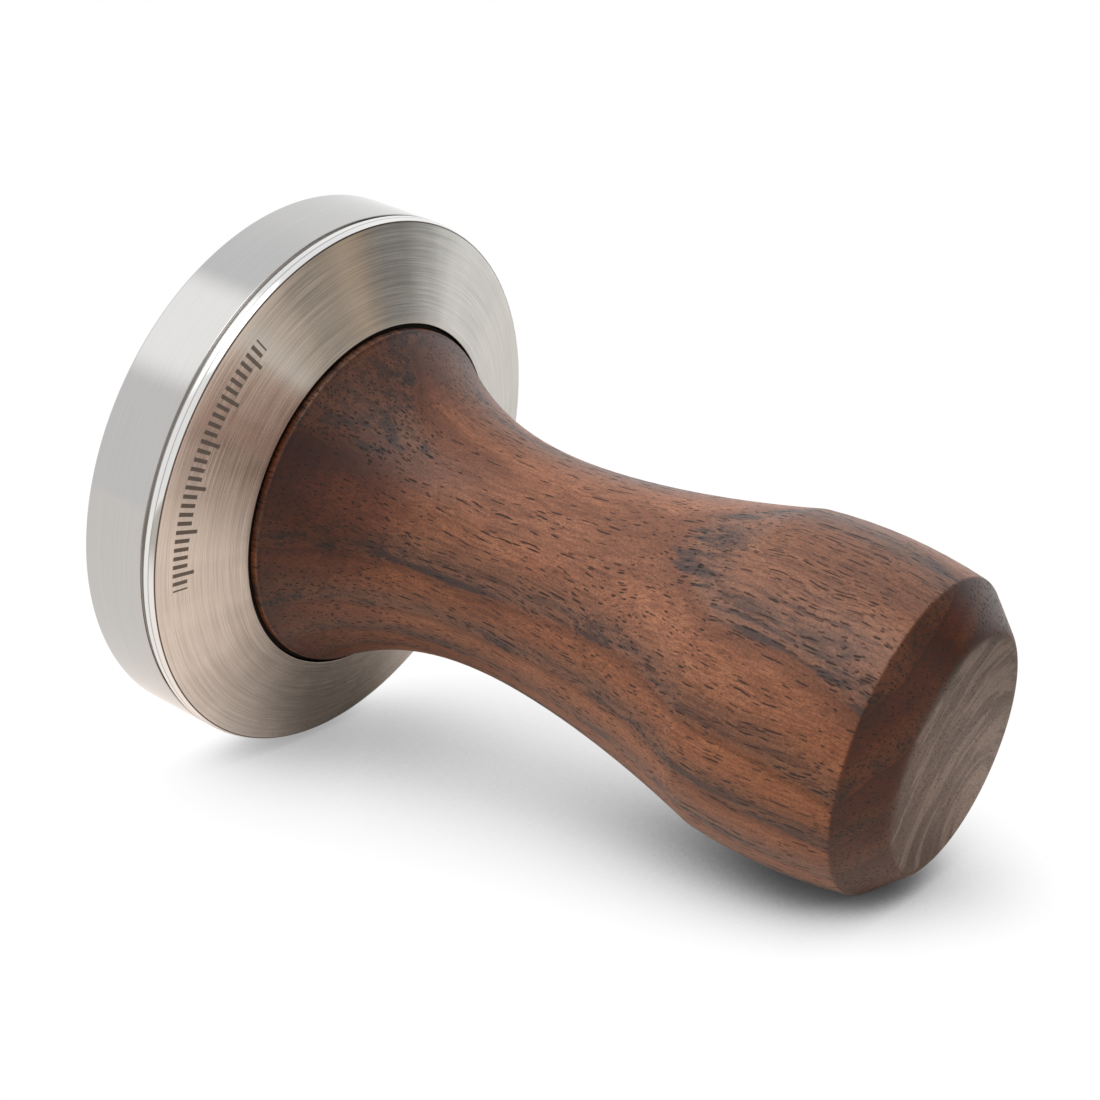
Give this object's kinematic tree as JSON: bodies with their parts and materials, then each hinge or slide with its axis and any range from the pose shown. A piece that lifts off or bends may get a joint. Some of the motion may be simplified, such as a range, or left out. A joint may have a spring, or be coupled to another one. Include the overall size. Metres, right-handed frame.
{
  "type": "espresso tamper",
  "caption": "Coffee tamper with a round flat-faced turned steel base and a waisted walnut handle that unscrews from it.",
  "frame": {"origin": "centre of the base's flat underside", "axes": "+Z along the handle's axis, from the base towards the end of the handle; the tamper stands upright on Z = 0"},
  "size_m": [0.058, 0.058, 0.0815],
  "materials": {
    "stainless_steel": "turned satin side wall, finely brushed cone, polished band",
    "black_rubber": "matt",
    "zinc_steel": "bright zinc plated",
    "brass": "machined",
    "walnut": "oiled satin"
  },
  "bodies": {
    "base": {"base": "stainless_steel"},
    "seal_ring": {"seal_ring": "black_rubber"},
    "handle": {"handle": "walnut", "threaded_insert": "brass", "threaded_stud": "zinc_steel"}
  },
  "joints": [
    {"name": "handle_rise", "type": "slide", "parent": "base", "child": "seal_ring", "axis": [0, 0, 1], "range_m": [0, 0.0075]},
    {"name": "handle_unscrew", "type": "hinge", "parent": "seal_ring", "child": "handle", "pos_m": [0, 0, 0], "axis": [0, 0, 1], "range_deg": [0, 2160]}
  ],
  "couplings": [
    {"joint": "handle_rise", "follows": "handle_unscrew", "m_per_rad": 0.00019894}
  ]
}
